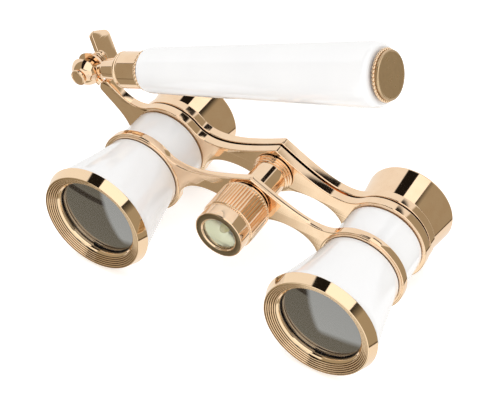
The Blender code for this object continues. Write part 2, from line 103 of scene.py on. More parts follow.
# %% Profile and mesh tools
def eased(points, ease=0.12, steps=4, closed=True):
    """Round every corner P of a profile with the parabola (1-s)^2 A + 2s(1-s) P + s^2 B.

    A and B lie on the two sides that meet in P, `ease` millimetres away from it.
    """
    p = np.asarray(points, float)
    ease = np.broadcast_to(np.asarray(ease, float), len(p))
    back, ahead = np.roll(p, 1, 0) - p, np.roll(p, -1, 0) - p
    back_long, ahead_long = np.linalg.norm(back, axis=1), np.linalg.norm(ahead, axis=1)
    reach = np.minimum(ease, 0.45 * np.minimum(back_long, ahead_long))[:, None]
    a, b = p + back / back_long[:, None] * reach, p + ahead / ahead_long[:, None] * reach
    s = np.linspace(0, 1, steps + 1)[None, :, None]
    curve = (1 - s) ** 2 * a[:, None] + 2 * s * (1 - s) * p[:, None] + s ** 2 * b[:, None]
    if closed:
        return curve.reshape(-1, 2)
    return np.vstack([p[:1], curve[1:-1].reshape(-1, 2), p[-1:]])


def on_axis(points, ease):
    """Rounded profile of a solid that starts and ends on its axis; the two poles stay exactly there."""
    return eased(points, ease, closed=False)


def outward(points, faces):
    """Faces of a closed shell, all turned if its signed volume (sum of p0 . p1 x p2 / 6) is negative."""
    volume = 0.0
    for group in faces:
        for k in range(1, group.shape[1] - 1):
            a, b, c = points[group[:, 0]], points[group[:, k]], points[group[:, k + 1]]
            volume += np.einsum("ij,ij->i", a, np.cross(b, c)).sum() / 6
    return faces if volume > 0 else [group[:, ::-1] for group in faces]


def grid_faces(index, wrap_rows):
    """Quads between neighbouring rows and columns of an index grid; columns always close."""
    lower = index if wrap_rows else index[:-1]
    upper = np.roll(index, -1, 0) if wrap_rows else index[1:]
    quads = np.stack([lower, np.roll(lower, -1, 1), np.roll(upper, -1, 1), upper], -1).reshape(-1, 4)
    low_pole, high_pole = quads[:, 0] == quads[:, 1], quads[:, 2] == quads[:, 3]
    whole = quads[~(low_pole | high_pole)]
    fans = np.vstack([quads[low_pole][:, [0, 2, 3]], quads[high_pole][:, [0, 1, 2]]])
    return [group for group in (whole, fans) if len(group)]


def cross_axes(axis, toward):
    """Two unit directions square to an axis, the first as near to `toward` as it can be."""
    axis = np.asarray(axis, float) / np.linalg.norm(axis)
    first = np.asarray(toward, float) - (np.asarray(toward, float) @ axis) * axis
    first /= np.linalg.norm(first)
    return axis, first, np.cross(axis, first)


def revolve(profile, origin, axis=Y, toward=X, sides=144, swell=None):
    """Shell of a profile (s, r) carried round an axis: origin + s*axis + r*(cos u, sin u).

    `swell(u, s, r)` may change the radius with the angle, as ribs and beads do. Points with r = 0
    become one pole, so the shell is closed there; any other profile closes on itself.
    """
    axis, first, second = cross_axes(axis, toward)
    s, r = np.asarray(profile, float).T
    u = np.linspace(0, 2 * math.pi, sides, endpoint=False)
    radius = np.repeat(r[:, None], sides, 1)
    if swell is not None:
        radius = np.where(radius > 0, swell(u[None, :], s[:, None], radius), 0.0)
    grid = (origin + s[:, None, None] * axis
            + radius[..., None] * (np.cos(u)[:, None] * first + np.sin(u)[:, None] * second))
    index = np.arange(grid.shape[0] * sides).reshape(-1, sides)
    index[r == 0] = index[r == 0][:, :1]
    faces = grid_faces(index, wrap_rows=not (r[0] == 0 and r[-1] == 0))
    points = grid.reshape(-1, 3)
    return points, outward(points, faces)


# %% [markdown]
# A piece can be one shell or a few shells that belong together. `piece` writes them into a mesh, drops
# the points that no face uses, shades it smooth with crisp edges where the surface really turns, and
# adds Weighted Normal, which keeps large flats flat right up to their rounded edges. The object stays at
# the origin, so that its place is in its mesh, rides on its CAD body and stands for its CAD node.

# %% The piece maker
made = {}


def piece(name, shells, finish, body, nodes=(), crease=35.0):
    """One named object from shells of (points in mm, face groups)."""
    points = np.vstack([p for p, _ in shells]) * MM
    shifts = np.cumsum([0] + [len(p) for p, _ in shells[:-1]])
    groups = [g + shift for (_, faces), shift in zip(shells, shifts) for g in faces]
    used = np.unique(np.concatenate([g.ravel() for g in groups]))
    renumber = np.full(len(points), -1)
    renumber[used] = np.arange(len(used))
    mesh = bpy.data.meshes.new(name)
    mesh.from_pydata(points[used].tolist(), [], [f for g in groups for f in renumber[g].tolist()])
    mesh.shade_smooth()
    mesh.set_sharp_from_angle(angle=math.radians(crease))
    obj = bpy.data.objects.new(name, mesh)
    bpy.context.scene.collection.objects.link(obj)
    obj.data.materials.append(finish)
    even = obj.modifiers.new("even flats", "WEIGHTED_NORMAL")
    even.keep_sharp = True
    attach(obj, body)
    if nodes:
        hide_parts(*nodes)
    made[name] = sum(len(g) * (g.shape[1] - 2) for g in groups)
    return obj


# %% [markdown]
# ## Finishes
#
# Each finish is a Principled BSDF with procedural noise on Object coordinates, so it needs no images and
# stays put when a piece moves. They share a few helpers: a slow noise shifts colour and roughness, as
# fingers and polishing cloths do, and a finer one drives the bump.

# %% Node helpers
def new_finish(name, colour, metallic, roughness):
    """A material with its Principled BSDF set to plain values, and its node tree."""
    mat = bpy.data.materials.new(name)
    mat.use_nodes = True
    shader = mat.node_tree.nodes["Principled BSDF"]
    shader.inputs["Base Color"].default_value = (*colour, 1.0)
    shader.inputs["Metallic"].default_value = metallic
    shader.inputs["Roughness"].default_value = roughness
    mat.diffuse_color = (*colour, 1.0)
    return mat, mat.node_tree, shader


def noise(tree, scale, detail=3.0, stretch=(1, 1, 1)):
    """Noise on Object coordinates; scale is in features to the metre."""
    where = tree.nodes.new("ShaderNodeTexCoord")
    mapping = tree.nodes.new("ShaderNodeMapping")
    mapping.inputs["Scale"].default_value = stretch
    tree.links.new(where.outputs["Object"], mapping.inputs["Vector"])
    texture = tree.nodes.new("ShaderNodeTexNoise")
    texture.inputs["Scale"].default_value = scale
    texture.inputs["Detail"].default_value = detail
    tree.links.new(mapping.outputs["Vector"], texture.inputs["Vector"])
    return texture.outputs["Fac"]


def spread(tree, value, low, high, start=0.35, end=0.65):
    """Map the middle of a noise on to the range from low to high."""
    node = tree.nodes.new("ShaderNodeMapRange")
    for key, number in (("From Min", start), ("From Max", end), ("To Min", low), ("To Max", high)):
        node.inputs[key].default_value = number
    tree.links.new(value, node.inputs["Value"])
    return node.outputs["Result"]


def two_tone(tree, value, first, second):
    """Blend two colours by a value: first * (1 - value) + second * value. Either may be a node's output."""
    node = tree.nodes.new("ShaderNodeMix")
    node.data_type = "RGBA"
    for socket, colour in ((node.inputs[6], first), (node.inputs[7], second)):
        if isinstance(colour, tuple):
            socket.default_value = (*colour, 1.0)
        else:
            tree.links.new(colour, socket)
    tree.links.new(value, node.inputs[0])
    return node.outputs[2]


def bump(tree, shader, height, depth_mm, strength=1.0):
    """Raise the surface by a height of up to depth_mm millimetres."""
    node = tree.nodes.new("ShaderNodeBump")
    node.inputs["Strength"].default_value = strength
    node.inputs["Distance"].default_value = depth_mm * MM
    tree.links.new(height, node.inputs["Height"])
    tree.links.new(node.outputs["Normal"], shader.inputs["Normal"])


def metal(name, light, dark, rough, wander, bump_mm, scale=260.0, grain=(1, 1, 1)):
    """A polished or brushed metal: colour and roughness drift slowly, and the bump is finer."""
    mat, tree, shader = new_finish(name, light, 1.0, rough)
    slow = noise(tree, scale, 4.0, grain)
    fine = noise(tree, scale * 9, 2.0, grain)
    tree.links.new(two_tone(tree, spread(tree, slow, 0, 1), light, dark), shader.inputs["Base Color"])
    tree.links.new(spread(tree, slow, rough, rough + wander), shader.inputs["Roughness"])
    bump(tree, shader, fine, bump_mm)
    return mat


# %% [markdown]
# The gold is a thin rose-tinted plate on polished brass. It must stay almost mirror-like, because the
# look of the piece is the crisp light and dark bands that it reflects. Insides of rings and the handle's
# cap are a little softer, and the black lacquer, steel and the lamp's parts finish the list.

# %% Metals, enamel and lacquers
gold = metal("polished_gold", (0.97, 0.735, 0.52), (0.94, 0.69, 0.475), 0.03, 0.04, 0.0008)
# Dark gold for the torch's flat front: a painted dark reflection of the dim studio, not another metal.
gold_darkened_as_reflection = metal("gold_painted_dark_reflection", (0.26, 0.20, 0.12), (0.22, 0.16, 0.09), 0.16, 0.08, 0.002, 500.0)
satin_gold = metal("satin_gold", (0.70, 0.52, 0.33), (0.63, 0.46, 0.28), 0.26, 0.10, 0.004, 500.0)
steel = metal("turned_steel", (0.62, 0.62, 0.63), (0.54, 0.54, 0.55), 0.24, 0.12, 0.003, 500.0, (1, 9, 1))
mirror = metal("bright_reflector", (0.80, 0.79, 0.66), (0.68, 0.67, 0.54), 0.10, 0.08, 0.002)


def gold_with_painted_groove_shade(bright, dark):
    """Gold with painted shade in its grooves: its colour falls to dark where the piece's own attribute "groove"
    falls to 0.
    """
    mat, tree, shader = new_finish("gold_with_painted_groove_shade", bright, 1.0, 0.05)
    groove = tree.nodes.new("ShaderNodeAttribute")
    groove.attribute_name = "groove"
    tree.links.new(two_tone(tree, groove.outputs["Fac"], dark, bright), shader.inputs["Base Color"])
    tree.links.new(spread(tree, noise(tree, 260.0), 0.04, 0.08), shader.inputs["Roughness"])
    bump(tree, shader, noise(tree, 2300.0, 2.0), 0.0008)
    return mat


def enamel_finish():
    """Glossy white enamel: a faint pearl drift in the white and the slight waviness of a flowed coat."""
    mat, tree, shader = new_finish("white_enamel", (0.84, 0.835, 0.83), 0.0, 0.07)
    pearl = noise(tree, 60.0, 5.0, (1.0, 0.35, 1.0))
    tree.links.new(two_tone(tree, spread(tree, pearl, 0, 1), (0.85, 0.845, 0.84), (0.82, 0.815, 0.815)),
                   shader.inputs["Base Color"])
    tree.links.new(spread(tree, noise(tree, 180.0), 0.05, 0.11), shader.inputs["Roughness"])
    shader.inputs["Coat Weight"].default_value = 0.5
    shader.inputs["Coat Roughness"].default_value = 0.03
    bump(tree, shader, noise(tree, 420.0, 2.0), 0.004)
    return mat


def lacquer(name, light, dark, rough, bump_mm):
    """Matt or satin lacquer or moulding, with a fine grain."""
    mat, tree, shader = new_finish(name, light, 0.0, rough)
    grain = noise(tree, 1800.0, 3.0)
    tree.links.new(two_tone(tree, spread(tree, grain, 0, 1), light, dark), shader.inputs["Base Color"])
    tree.links.new(spread(tree, noise(tree, 300.0), rough, rough + 0.12), shader.inputs["Roughness"])
    bump(tree, shader, grain, bump_mm)
    return mat


# Gold that turns dark in the grooves of the bezel mouth: painted shade between the ribs, not a darker metal.
groove_shaded_gold = gold_with_painted_groove_shade((0.97, 0.735, 0.50), (0.20, 0.11, 0.04))
enamel = enamel_finish()
black = lacquer("black_lacquer", (0.008, 0.007, 0.006), (0.014, 0.012, 0.010), 0.7, 0.006)
moulding = lacquer("black_moulding", (0.03, 0.03, 0.03), (0.045, 0.045, 0.045), 0.5, 0.01)
board = lacquer("circuit_lacquer", (0.03, 0.16, 0.07), (0.02, 0.10, 0.05), 0.35, 0.01)
lamp = lacquer("lamp_resin", (0.92, 0.80, 0.28), (0.80, 0.66, 0.20), 0.12, 0.004)

# %% [markdown]
# Coated lenses look dark from the front: nearly all light goes in and is lost in the black tube, and the
# coating leaves only soft grey reflections. A fully clear shader would need many bounces to find that
# darkness, so the objective is simply dark under a strong mirror coat. That gives the same dark pool
# with pale patches. The small lenses stay clear.

# %% Glass
def glass_finish(name, tint, clear, coat, coat_ior, rough):
    """Glass with a thin reflecting coat; `clear` is its share of transmission, smears roughen it."""
    mat, tree, shader = new_finish(name, tint, 0.0, rough)
    shader.inputs["Transmission Weight"].default_value = clear
    shader.inputs["IOR"].default_value = 1.5
    shader.inputs["Coat Weight"].default_value = coat
    shader.inputs["Coat IOR"].default_value = coat_ior
    shader.inputs["Coat Roughness"].default_value = 0.01
    shader.inputs["Coat Tint"].default_value = (0.96, 0.99, 1.0, 1.0)
    smear = noise(tree, 90.0, 4.0)
    tree.links.new(spread(tree, smear, rough, rough + 0.02), shader.inputs["Roughness"])
    tree.links.new(two_tone(tree, spread(tree, smear, 0, 1), tint, tuple(c * 0.92 for c in tint)),
                   shader.inputs["Base Color"])
    bump(tree, shader, smear, 0.0005)
    return mat


objective_glass = glass_finish("objective_glass", (0.022, 0.020, 0.020), 0.0, 1.0, 3.0, 0.005)
eye_glass = glass_finish("eye_glass", (0.75, 0.78, 0.78), 0.92, 0.6, 1.9, 0.005)
lamp_lens = glass_finish("lamp_lens", (0.90, 0.90, 0.80), 0.92, 0.15, 1.5, 0.01)

# %% [markdown]
# ## The barrels
#
# The objective bezel is one turned ring. Its outer band is a shallow cone, polished, and its mouth has
# fine ribs that stop stray light. The ribs are added to the profile as a rectified sine wave along the
# cone of the mouth, so a single revolve makes them all. An attribute, "groove", tells the finish where
# the grooves between the ribs are, and the finish paints them dark: painted shade in the grooves.

# %% Objective bezels
def ribbed(start, end, count, height, samples=7):
    """Points from start to end, `count` ribs standing off the line by height * |sin(pi count t)|^0.6."""
    start, end = np.asarray(start, float), np.asarray(end, float)
    t = np.linspace(0, 1, count * samples + 1)
    run = end - start
    off = np.array([-run[1], run[0]]) / np.linalg.norm(run)
    return start + t[:, None] * run + off * (height * np.abs(np.sin(math.pi * count * t)) ** 0.6)[:, None]


def rib_crests(count, rows):
    """How near each row is to a rib's crest: |sin(pi count t)|, 0 in the grooves and 1 on the crests."""
    return np.abs(np.sin(math.pi * count * np.linspace(0, 1, rows)))


MOUTH_RIBS, RIB_HEIGHT, BEZEL_SIDES = 5, 0.3, 192
mouth = ribbed((0.2, 14.3), (1.5, 12.0), MOUTH_RIBS, -RIB_HEIGHT)
bezel_outside = eased([(7.4, 12.6), (7.4, 13.2), (2.8, 13.2), (2.8, 15.69), (0.0, 14.55), (0.0, 14.3)],
                      [0.1, 0.1, 0.1, 0.18, 0.1, 0.02], closed=False)
bezel_inside = eased([(1.5, 12.0), (1.65, 11.85), (1.95, 11.45), (2.3, 11.3), (2.65, 11.35), (2.65, 12.6),
                      (7.4, 12.6)], 0.1, closed=False)
bezel_profile = np.vstack([bezel_outside[1:], mouth, bezel_inside[1:]])
crest = np.concatenate([np.ones(len(bezel_outside) - 1), rib_crests(MOUTH_RIBS, len(mouth)),
                        np.ones(len(bezel_inside) - 1)])
for side, centre in BARREL.items():
    bezel = piece("bezel_" + side, [revolve(bezel_profile, centre, sides=BEZEL_SIDES)], groove_shaded_gold, "frame",
                  ["objective_bezel_" + side], crease=40)
    # 0 in the grooves and 1 on the crests: where the finish paints shade into the grooves.
    groove = bezel.data.attributes.new("groove", "FLOAT", "POINT")
    groove.data.foreach_set("value", np.repeat(crest, BEZEL_SIDES))
print("bezel profile:", len(bezel_profile), f"points, {MOUTH_RIBS} ribs {RIB_HEIGHT} mm high")

# %% [markdown]
# The objective bulges gently towards the front, a spherical cap written as a parabola, and sits behind
# the bezel's inner lip. The barrels are white enamel: the front one flares like a trumpet, the rear one
# is a plain sleeve between the two bridges.

# %% Lenses and barrels
LENS_R, LENS_START, LENS_END, BULGE = 12.3, 3.2, 5.6, 1.25
share = np.linspace(0, 1, 22)
lens_front = np.column_stack([LENS_START - BULGE * (1 - share ** 2), LENS_R * share])
lens_profile = np.vstack([lens_front, [(LENS_END, LENS_R), (LENS_END, 0.0)]])


def trumpet(start, end, wide, narrow, count=26):
    """Outline of the flared barrel: r = narrow + (wide - narrow) * (1 - t) ** 1.25."""
    t = np.linspace(0, 1, count)
    return np.column_stack([start + (end - start) * t, narrow + (wide - narrow) * (1 - t) ** 1.25])


flare = trumpet(3.1, 22.7, 15.3, 11.05)
front_profile = np.vstack([[(3.1, 15.15)], flare[1:-1], [(22.55, 11.06), (22.7, 10.9), (22.7, 9.7),
                                                         (20.5, 9.7), (7.8, 13.5), (3.1, 13.5)]])
rear_profile = eased([(25.5, 11.05), (35.5, 11.05), (35.5, 9.7), (25.5, 9.7)], 0.15)
for side, centre in BARREL.items():
    piece("objective_glass_" + side, [revolve(lens_profile, centre)], objective_glass, "frame",
          ["objective_lens_" + side], crease=60)
    piece("flared_barrel_" + side, [revolve(front_profile, centre, sides=192)], enamel, "frame",
          ["front_barrel_" + side])
    piece("short_barrel_" + side, [revolve(rear_profile, centre, sides=160)], enamel, "frame",
          ["rear_barrel_" + side])

# %% [markdown]
# Inside the barrels are the black tube, the ring that holds the lens, the sliding draw tube and, at the
# back, the eyecup with its own small lens. They're all turned, so one table of profiles makes them.

# %% Turned pieces of the optics
def ring(start, end, outer, inner, ease=0.12):
    """Profile of a plain sleeve with softened edges."""
    return eased([(start, outer), (end, outer), (end, inner), (start, inner)], ease)


cup = eased([(42.1, 11.2), (51.1, 12.45), (51.6, 11.95), (51.6, 11.4), (51.0, 10.8), (47.6, 7.6), (44.3, 7.6),
             (44.3, 8.6), (42.1, 8.6)], [0.2, 0.5, 0.3, 0.3, 0.4, 0.3, 0.1, 0.1, 0.1], steps=5)
dish = np.linspace(0, 1, 12)
eye_lens = np.vstack([np.column_stack([45.05 - 0.45 * dish ** 2, 7.2 * dish]),
                      np.column_stack([45.65 + 0.45 * dish ** 2, 7.2 * dish])[::-1]])
optics = [
    ("inner_tube_", "barrel_tube_", "frame", ring(9.6, 38.2, 9.4, 8.6), black, "black_metal", 96),
    ("lens_ring_", "lens_retainer_", "frame", ring(5.9, 7.1, 12.3, 11.0), black, "black_metal", 96),
    ("sliding_tube_", "draw_tube_", "eyepieces", ring(26.0, 44.0, 8.3, 7.6), gold, "gold_plate", 128),
    ("eye_cup_", "eyecup_", "eyepieces", cup, gold, "gold_plate", 192),
    ("eye_glass_", "ocular_lens_", "eyepieces", eye_lens, eye_glass, "coated_glass", 96),
    ("eye_ring_", "ocular_retainer_", "eyepieces", ring(46.4, 47.4, 7.2, 6.0), black, "black_metal", 96),
]
for name, node, body, profile, finish, slot, sides in optics:
    for side, centre in BARREL.items():
        piece(name + side, [revolve(profile, centre, sides=sides)], finish, body, [node + side])
print("turned optics:", len(optics) * 2)

# %% [markdown]
# ## The bridges
#
# Three plates tie the barrels to the focusing axis. Each is an outline in the plane across the optical
# axis: an arc round each barrel, a dip, and a small peak over the hub. The solid is that outline carried
# through its thickness with rounded edges, which is again a grid: one row for each step of the edge's
# quarter circle, one column for each point of the outline. The flat faces are filled with Blender's
# polygon tessellation, holes included.

# %% Plates with rounded edges
def resample(loop, count):
    """A closed loop at `count` points of equal spacing along its length."""
    closed = np.vstack([loop, loop[:1]])
    travel = np.concatenate([[0], np.cumsum(np.linalg.norm(np.diff(closed, axis=0), axis=1))])
    want = np.linspace(0, travel[-1], count, endpoint=False)
    return np.column_stack([np.interp(want, travel, closed[:, k]) for k in (0, 1)])


def softened(loop, passes):
    """A closed loop after `passes` rounds of averaging each point with its neighbours (1, 2, 1)/4."""
    for _ in range(passes):
        loop = (np.roll(loop, 1, 0) + 2 * loop + np.roll(loop, -1, 0)) / 4
    return loop


def inward(loop):
    """Unit normals of a loop that point into its area, from the tangent turned a quarter."""
    run = np.roll(loop, -1, 0) - np.roll(loop, 1, 0)
    normal = np.column_stack([-run[:, 1], run[:, 0]]) / np.linalg.norm(run, axis=1)[:, None]
    x, y = loop.T
    area = (x * np.roll(y, -1) - y * np.roll(x, -1)).sum() / 2
    return normal if area > 0 else -normal


def plate(outline, holes, low, high, to_space, edge=0.26, hole_edge=0.12, steps=4):
    """Shell of a plate: each loop is set in by edge*(1 - sin a) while its height rises by edge*(1 - cos a).

    to_space(u, v, w) carries the outline's u, v and the height w into space, all in millimetres.
    """
    angle = np.linspace(0, math.pi / 2, steps + 1)
    points, groups, ends, first = [], [], [], 0
    for loop, radius, sign in [(outline, edge, 1)] + [(hole, hole_edge, -1) for hole in holes]:
        inset, rise = radius * (1 - np.sin(angle)), radius * (1 - np.cos(angle))
        inset = np.concatenate([inset, inset[::-1]])
        height = np.concatenate([low + rise, high - rise[::-1]])
        flat = loop[None] + sign * inset[:, None, None] * inward(loop)[None]
        grid = np.dstack([flat, np.broadcast_to(height[:, None], flat.shape[:2])])
        index = first + np.arange(grid.shape[0] * grid.shape[1]).reshape(grid.shape[:2])
        groups += grid_faces(index, wrap_rows=False)
        ends.append((grid[0, :, :2], index[0], index[-1]))
        points.append(grid.reshape(-1, 3))
        first += index.size
    fill = np.array(tessellate_polygon([[Vector((*p, 0)) for p in loop] for loop, _, _ in ends]))
    lows, highs = (np.concatenate([end[k] for end in ends]) for k in (1, 2))
    sides = [groups[0]] + [g[:, ::-1] for g in groups[1:]]
    turn = turning(sides[0], lows[fill])
    caps = [lows[fill][:, ::turn], highs[fill][:, ::-turn]]
    space = to_space(*np.vstack(points).T)
    return space, outward(space, sides + caps)


def turning(quads, fill):
    """1 if the filled cap already agrees with the side walls, -1 if it has to be turned."""
    walls = {(int(a), int(b)) for a, b in zip(quads[:, 0], quads[:, 1])}
    a, b, c = fill.T
    edges = zip(np.concatenate([a, b, c]).tolist(), np.concatenate([b, c, a]).tolist())
    return -1 if any(edge in walls for edge in edges) else 1


# %% [markdown]
# The outline is the same for all three bridges but for the radius of the rings round the barrels. The
# curves between ring and hub are cubic Beziers, the curve type a draughtsman would reach for.

# %% Bridge outlines
def bezier(start, lead, trail, end, count=24):
    """Cubic curve (1-t)^3 P0 + 3t(1-t)^2 P1 + 3t^2(1-t) P2 + t^3 P3, without its last point."""
    t = np.linspace(0, 1, count, endpoint=False)[:, None]
    p = [np.asarray(q, float) for q in (start, lead, trail, end)]
    return (1 - t) ** 3 * p[0] + 3 * t * (1 - t) ** 2 * p[1] + 3 * t * t * (1 - t) * p[2] + t ** 3 * p[3]


def arc(centre, radius, first, last, count=90):
    """Part of a circle, from one angle to another in degrees."""
    a = np.radians(np.linspace(first, last, count))
    return np.asarray(centre) + radius * np.column_stack([np.cos(a), np.sin(a)])


PEAK, HUB_R, ARM_ROOTS = 14.75, 6.4, (124.0, 188.0)


def bridge_outline(ring_r, lift, arm):
    """Right half from the peak round the ring to the hub's underside, mirrored, and perhaps the arm."""
    ring_arc = arc((HALF_SPACING, 0), ring_r, 130.0, -165.0)
    hub_arc = arc((0, HUB_UP), HUB_R, -50.0, -90.0, 20)
    top = bezier((0, PEAK), (10.9, 8.8 + lift), (ring_arc[0][0] - 5.4, 4.8 + lift), ring_arc[0])
    low = bezier(ring_arc[-1], (20.9, 5.2 + lift), (7.2, 4.8 + lift), hub_arc[0])
    right = np.vstack([top, ring_arc[:-1], low, hub_arc])
    left = right[::-1][1:-1] * (-1, 1)
    if arm:
        angle = np.degrees(np.arctan2(left[:, 1], left[:, 0] + HALF_SPACING)) % 360
        swap = (left[:, 0] < -HALF_SPACING) & (angle > ARM_ROOTS[0]) & (angle < ARM_ROOTS[1])
        at = int(np.argmax(swap))
        left = np.vstack([left[:at], arm_outline(ring_r), left[at + int(swap.sum()):]])
    return softened(resample(np.vstack([right, left]), 900), 3)


def arm_outline(ring_r):
    """The arm that carries the handle's hinge, from the ring's lower root round its tip and back."""
    high_root, low_root = (arc((-HALF_SPACING, 0), ring_r, a, a, 1)[0] for a in ARM_ROOTS)
    low_end, high_end = (-55.1, 9.8), (-52.7, 13.4)
    low = bezier(low_root, (-45.6, 3.5), (-50.5, 6.0), low_end)
    tip = bezier(low_end, (-55.7, 11.0), (-54.2, 13.6), high_end, 12)
    high = bezier(high_end, (-48.6, 10.6), (-44.6, 7.4), high_root)
    return np.vstack([low, tip, high])


def along(origin, u_axis, v_axis, w_axis):
    """Placing rule of a plate: origin + u * u_axis + v * v_axis + w * w_axis."""
    return lambda u, v, w: origin + u[:, None] * u_axis + v[:, None] * v_axis + w[:, None] * w_axis


bridges = [("front_yoke", "front_bridge", "frame", (23.0, 25.2), 12.3, 1.0, 9.7, 3.5, False),
           ("middle_yoke", "middle_bridge", "frame", (35.8, 38.4), 12.1, 0.0, 9.7, 3.3, True),
           ("rear_yoke", "rear_bridge", "eyepieces", (39.2, 41.8), 11.8, 0.0, 8.6, 2.3, False)]
for name, node, body, (low, high), ring_r, lift, bore, hub_bore, arm in bridges:
    outline = bridge_outline(ring_r, lift, arm)
    holes = [arc((sign * HALF_SPACING, 0), bore, 0, 360, 145)[:-1] for sign in (-1, 1)]
    holes.append(arc((0, HUB_UP), hub_bore, 0, 360, 65)[:-1])
    piece(name, [plate(outline, holes, low, high, along(MIDDLE, X, Z, Y))], gold, body, [node])
    print(name, "outline", len(outline), "points,", made[name], "triangles")

# %% [markdown]
# The front bridge carries a thin rounded bead round each barrel, where the flared barrel is pressed in.
# It's a small ring of its own, half a millimetre thick.

# %% Beads in front of the front bridge
bead = eased([(22.78, 11.12), (22.78, 11.75), (23.0, 11.9), (23.05, 11.12)], 0.12)
for side, centre in BARREL.items():
    piece("yoke_bead_" + side, [revolve(bead, centre, sides=160)], gold, "frame")

# %% [markdown]
# ## The focusing axis
#
# A sleeve runs between the front and middle bridges and ends in a few turned rings. The wheel in front of
# it has 54 straight ribs with narrow grooves between them. The ribs are a swell of the lathe: the radius
# drops in a narrow raised-cosine groove once for each rib, and only along the ribbed part of the width.

# %% Sleeve, bush, rod and screw
def turned_on_hub(name, node, body, profile, finish, sides=96, swell=None):
    """A piece turned about the focusing axis."""
    return piece(name, [revolve(profile, HUB, sides=sides, swell=swell)], finish, body, [node])


sleeve = eased([(25.5, 4.7), (33.7, 4.7), (33.8, 5.1), (34.1, 5.1), (34.2, 4.9), (34.35, 4.9),
                (34.45, 5.4), (34.75, 5.4), (34.85, 5.2), (35.0, 5.2), (35.1, 5.7), (35.5, 5.7),
                (35.5, 3.3), (25.5, 3.3)], 0.07)
bush = eased([(22.2, 5.8), (22.7, 5.8), (22.7, 3.2), (25.1, 3.2), (25.1, 1.8), (22.2, 1.8)], 0.1)
rod = eased([(27.2, 2.9), (38.9, 2.9), (38.9, 2.0), (41.6, 2.0), (41.6, 1.3), (38.9, 1.3), (37.6, 1.3),
             (37.5, 1.8), (27.2, 1.8)], 0.1)
dome = [(42.7, 3.1)] + [(42.7 + 0.7 * math.sin(a), 3.1 * math.cos(a)) for a in (0.4, 0.8, 1.15)]
screw = np.vstack([[(39.4, 0.0)], eased([(39.4, 1.0), (42.1, 1.0), (42.1, 3.1)], 0.08)[2:], dome,
                   [(43.4, 0.0)]])
turned_on_hub("ringed_sleeve", "hub_sleeve", "frame", sleeve, gold, 128)
turned_on_hub("boss", "front_bush", "frame", bush, gold)
turned_on_hub("inner_rod", "focus_rod", "eyepieces", rod, steel)
turned_on_hub("rear_screw", "hub_screw", "eyepieces", screw, gold, 64)

# %% Ribbed wheel
RIBS, RIB_DEPTH, RIB_SPAN, WHEEL_R = 54, 0.45, (12.9, 20.9), 7.2


def ribs(u, s, r):
    """r minus depth * max(0, (cos(RIBS u) - 0.3) / 0.7) ** 0.7, faded out at both ends of the ribs."""
    groove = np.clip((np.cos(RIBS * u) - 0.3) / 0.7, 0, 1) ** 0.7
    fade = np.clip((s - RIB_SPAN[0]) / 0.12, 0, 1) * np.clip((RIB_SPAN[1] - s) / 0.3, 0, 1)
    return r - RIB_DEPTH * groove * fade * (r > WHEEL_R - 0.3)


rib_rows = np.column_stack([np.linspace(12.8, 21.0, 36), np.full(36, WHEEL_R)])
wheel_front = eased([(20.8, 5.6), (12.6, 5.6), (12.6, 6.95), (12.75, WHEEL_R)], 0.08, closed=False)
wheel_back = eased([(21.0, WHEEL_R), (21.2, WHEEL_R), (21.9, 6.35), (22.0, 6.1), (22.0, 1.8), (20.8, 1.8),
                    (20.8, 5.6)], 0.12, closed=False)
wheel = np.vstack([wheel_front[1:-1], rib_rows, wheel_back[1:]])
turned_on_hub("ribbed_wheel", "focus_wheel", "wheel", wheel, gold, RIBS * 12, ribs)
print("wheel:", RIBS, "ribs,", made["ribbed_wheel"], "triangles")

# %% [markdown]
# Where the torch head meets the wheel runs a fine beaded line. Beads round a ring are a torus whose tube
# swells and shrinks: its radius is a0 * sqrt(1 - k * x * x), with x going from -1 to 1 along each bead.
# The handle has two larger rings of the same kind, so they share the function.

# %% Beaded rings
def beaded(place, centre_r, bead_r, count, origin, axis, toward, sides_per_bead=10, around=14):
    """Ring of `count` beads: a tube round a circle, its radius bead_r * sqrt(1 - 0.82 x^2) along a bead."""
    axis, first, second = cross_axes(axis, toward)
    u = np.linspace(0, 2 * math.pi, count * sides_per_bead, endpoint=False)
    x = 2 * ((u * count / (2 * math.pi)) % 1) - 1
    tube = bead_r * np.sqrt(1 - 0.82 * x ** 2)
    v = np.linspace(0, 2 * math.pi, around, endpoint=False)[:, None]
    radius, along = centre_r + tube * np.cos(v), place + tube * np.sin(v)
    grid = (origin + along[..., None] * axis + radius[..., None]
            * (np.cos(u)[:, None] * first + np.sin(u)[:, None] * second))
    index = np.arange(grid.shape[0] * grid.shape[1]).reshape(grid.shape[:2])
    points = grid.reshape(-1, 3)
    return points, outward(points, grid_faces(index, wrap_rows=True))


piece("seam_beads", [beaded(12.45, 6.78, 0.22, 72, HUB, Y, X, 8, 8)], gold, "wheel")

# %% [markdown]
# The torch head is a smooth cup with a broad flat front and a thin inner rim; a thin disc over that front is
# coloured dark as a painted dark reflection.
# Behind its clear lens sits a bright bowl, a paraboloid like every reflector, and a small yellowish lamp.

